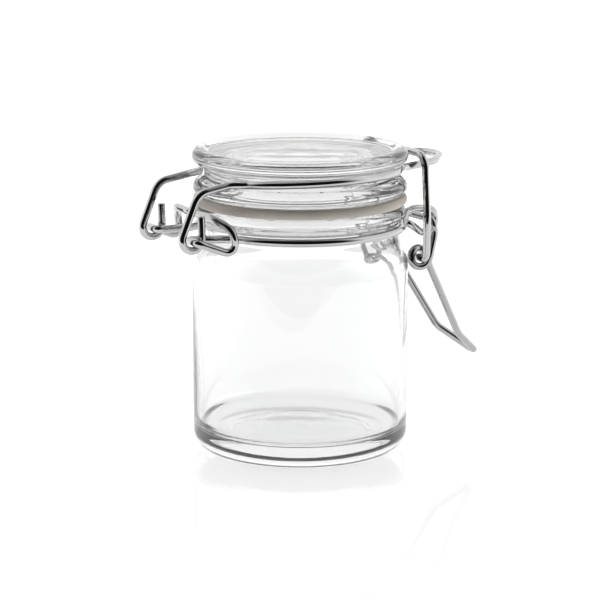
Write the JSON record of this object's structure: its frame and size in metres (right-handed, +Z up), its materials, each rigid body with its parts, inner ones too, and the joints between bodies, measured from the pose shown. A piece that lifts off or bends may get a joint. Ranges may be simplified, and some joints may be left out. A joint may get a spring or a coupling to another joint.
{
  "type": "swing-top glass storage jar",
  "caption": "Small round clear glass jar with a hinged glass lid, rubber sealing ring and over-centre wire latch with pointed handle.",
  "frame": {"origin": "centre of the bounding rectangle on the plane the jar stands on; the jar's own axis is at X = -7.34 mm, Y = 0", "axes": "+Z up along the jar's axis, +X from the wire hinge to the latch and its handle, +Y completes a right-handed frame and runs along the hinge axis"},
  "size_m": [0.0962, 0.056, 0.0793],
  "materials": {
    "jar_glass": "clear, fire-polished",
    "lid_glass": "clear, fire-polished",
    "seal_rubber": "matt, slightly translucent",
    "neck_wire_steel": "bright drawn wire",
    "lid_wire_steel": "bright drawn wire",
    "lever_steel": "bright drawn wire",
    "bail_steel": "bright drawn wire"
  },
  "bodies": {
    "jar": {"jar_glass": "jar_glass", "neck_wire": "neck_wire_steel"},
    "lid": {"lid_glass": "lid_glass", "seal_ring": "seal_rubber", "lid_wire": "lid_wire_steel"},
    "lever": {"latch_lever": "lever_steel"},
    "bail": {"latch_bail": "bail_steel"}
  },
  "joints": [
    {"name": "lid_hinge", "type": "hinge", "parent": "jar", "child": "lid", "pos_m": [-0.04444, 0, 0.0597], "axis": [0, -1, 0], "range_deg": [0, 115]},
    {"name": "lever_pivot", "type": "hinge", "parent": "jar", "child": "lever", "pos_m": [0.02576, 0, 0.0591], "axis": [0, -1, 0], "range_deg": [0, 120]},
    {"name": "bail_pivot", "type": "hinge", "parent": "lever", "child": "bail", "pos_m": [0.02256, 0, 0.0491], "axis": [0, -1, 0], "range_deg": [-120, 0]}
  ],
  "couplings": [
    {"joint": "bail_pivot", "follows": "lever_pivot", "ratio": -1}
  ]
}
